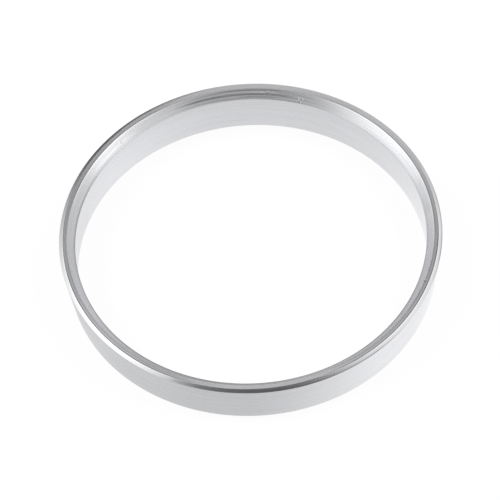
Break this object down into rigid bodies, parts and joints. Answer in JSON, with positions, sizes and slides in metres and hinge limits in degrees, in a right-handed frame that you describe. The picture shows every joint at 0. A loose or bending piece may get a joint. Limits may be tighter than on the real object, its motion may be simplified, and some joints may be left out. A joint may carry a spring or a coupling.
{
  "type": "hub centric ring",
  "caption": "Hub centric ring: plain turned aluminium ring with a chamfered bore mouth and a tapered outer wall, which centres a wheel on a smaller hub.",
  "frame": {"origin": "centre of the lower face, on the ring's axis", "axes": "+Z along the ring's axis, out of the chamfered bore mouth towards the hub; the ring is the same all round, so +X and +Y are free"},
  "size_m": [0.073, 0.073, 0.01],
  "materials": {
    "turned_aluminium": "finely turned, satin, uncoated"
  },
  "bodies": {
    "root": {"ring": "turned_aluminium"}
  },
  "joints": []
}
